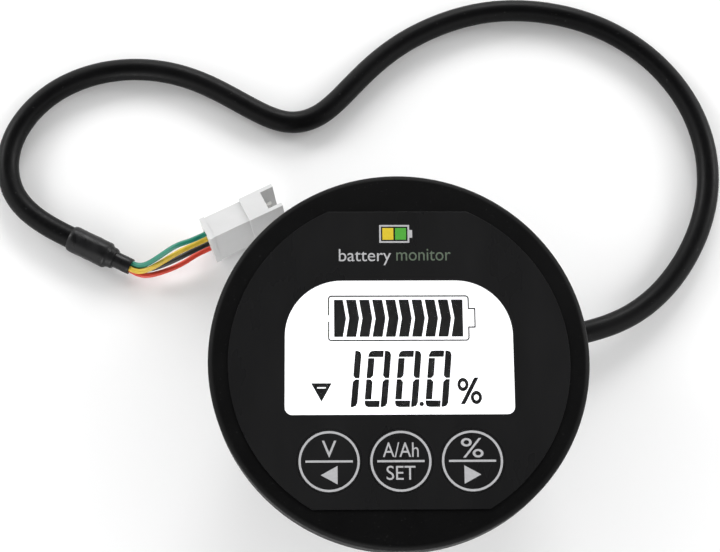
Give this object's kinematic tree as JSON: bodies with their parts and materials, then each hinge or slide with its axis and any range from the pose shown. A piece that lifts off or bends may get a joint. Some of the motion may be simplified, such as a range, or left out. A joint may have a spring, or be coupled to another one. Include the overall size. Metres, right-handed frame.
{
  "type": "panel battery monitor display",
  "caption": "Round panel battery monitor with a backlit screen, press keys, a threaded barrel with ring nut, and a signal lead with connector.",
  "frame": {"origin": "centre of the rear cover's flat back, on the barrel's axis", "axes": "+Z out of the screen's face, +Y towards the top of the screen, +X to its right; the lead and its connector lie at z = 0 beside the body"},
  "size_m": [0.1387, 0.1105, 0.0313],
  "materials": {
    "housing_plastic": "fine matt texture",
    "nut_plastic": "fine matt texture",
    "printed_film": "satin printed film",
    "clear_lens": "clear and polished",
    "screen_glass": "clear and polished",
    "screen_ink": "dark liquid crystal marks",
    "white_plastic": "satin",
    "light_guide": "evenly lit white",
    "led_resin": "glossy",
    "contact_rubber": "matt",
    "board": "satin solder mask",
    "chip_epoxy": "matt",
    "plated_metal": "bright tin plate",
    "chip_ceramic": "matt",
    "screw_steel": "zinc plated",
    "soft_rubber": "matt",
    "lead_jacket": "satin extruded jacket",
    "heat_shrink": "satin, slightly wrinkled",
    "wire_green": "satin",
    "wire_yellow": "satin",
    "wire_black": "satin",
    "wire_red": "satin",
    "connector_nylon": "satin moulded nylon"
  },
  "bodies": {
    "housing": {"front_housing": "housing_plastic", "graphic_overlay": "printed_film", "display_window": "clear_lens", "lcd_glass": "screen_glass", "lcd_segments": "screen_ink", "lcd_frame": "white_plastic", "light_guide": "light_guide", "reflector_sheet": "light_guide", "backlight_leds": "led_resin", "zebra_strip": "contact_rubber", "main_pcb": "board", "controller_chip": "chip_epoxy", "regulator_chip": "chip_epoxy", "crystal": "plated_metal", "capacitors": "plated_metal", "chip_parts": "chip_ceramic", "lead_header": "white_plastic", "header_plug": "white_plastic", "switch_left": "chip_epoxy", "switch_centre": "chip_epoxy", "switch_right": "chip_epoxy", "rear_cover": "housing_plastic", "cover_screw_1": "screw_steel", "cover_screw_2": "screw_steel", "cover_screw_3": "screw_steel", "panel_gasket": "soft_rubber", "lead_grommet": "soft_rubber", "cable_tie": "white_plastic", "lead_jacket": "lead_jacket", "inner_lead_green": "wire_green", "inner_lead_yellow": "wire_yellow", "inner_lead_black": "wire_black", "inner_lead_red": "wire_red", "shrink_outer": "heat_shrink", "shrink_inner": "heat_shrink", "wire_green": "wire_green", "wire_yellow": "wire_yellow", "wire_black": "wire_black", "wire_red": "wire_red", "plug_housing": "connector_nylon", "plug_contact_1": "plated_metal", "plug_contact_2": "plated_metal", "plug_contact_3": "plated_metal", "plug_contact_4": "plated_metal"},
    "key_left": {"key_left": "printed_film", "plunger_left": "white_plastic"},
    "key_centre": {"key_centre": "printed_film", "plunger_centre": "white_plastic"},
    "key_right": {"key_right": "printed_film", "plunger_right": "white_plastic"},
    "clamp_washer": {"clamp_washer": "screw_steel"},
    "ring_nut": {"ring_nut": "nut_plastic"}
  },
  "joints": [
    {"name": "key_left_press", "type": "slide", "parent": "housing", "child": "key_left", "axis": [0, 0, -1], "range_m": [0, 0.0003], "stiffness_N_per_m": 3000},
    {"name": "key_centre_press", "type": "slide", "parent": "housing", "child": "key_centre", "axis": [0, 0, -1], "range_m": [0, 0.0003], "stiffness_N_per_m": 3000},
    {"name": "key_right_press", "type": "slide", "parent": "housing", "child": "key_right", "axis": [0, 0, -1], "range_m": [0, 0.0003], "stiffness_N_per_m": 3000},
    {"name": "washer_slide", "type": "slide", "parent": "housing", "child": "clamp_washer", "axis": [0, 0, -1], "range_m": [0, 0.00601]},
    {"name": "nut_spin", "type": "hinge", "parent": "clamp_washer", "child": "ring_nut", "pos_m": [0, 0, 0.0195], "axis": [0, 0, -1], "range_deg": [0, 1080]}
  ],
  "couplings": [
    {"joint": "washer_slide", "follows": "nut_spin", "m_per_rad": 0.00031831}
  ]
}
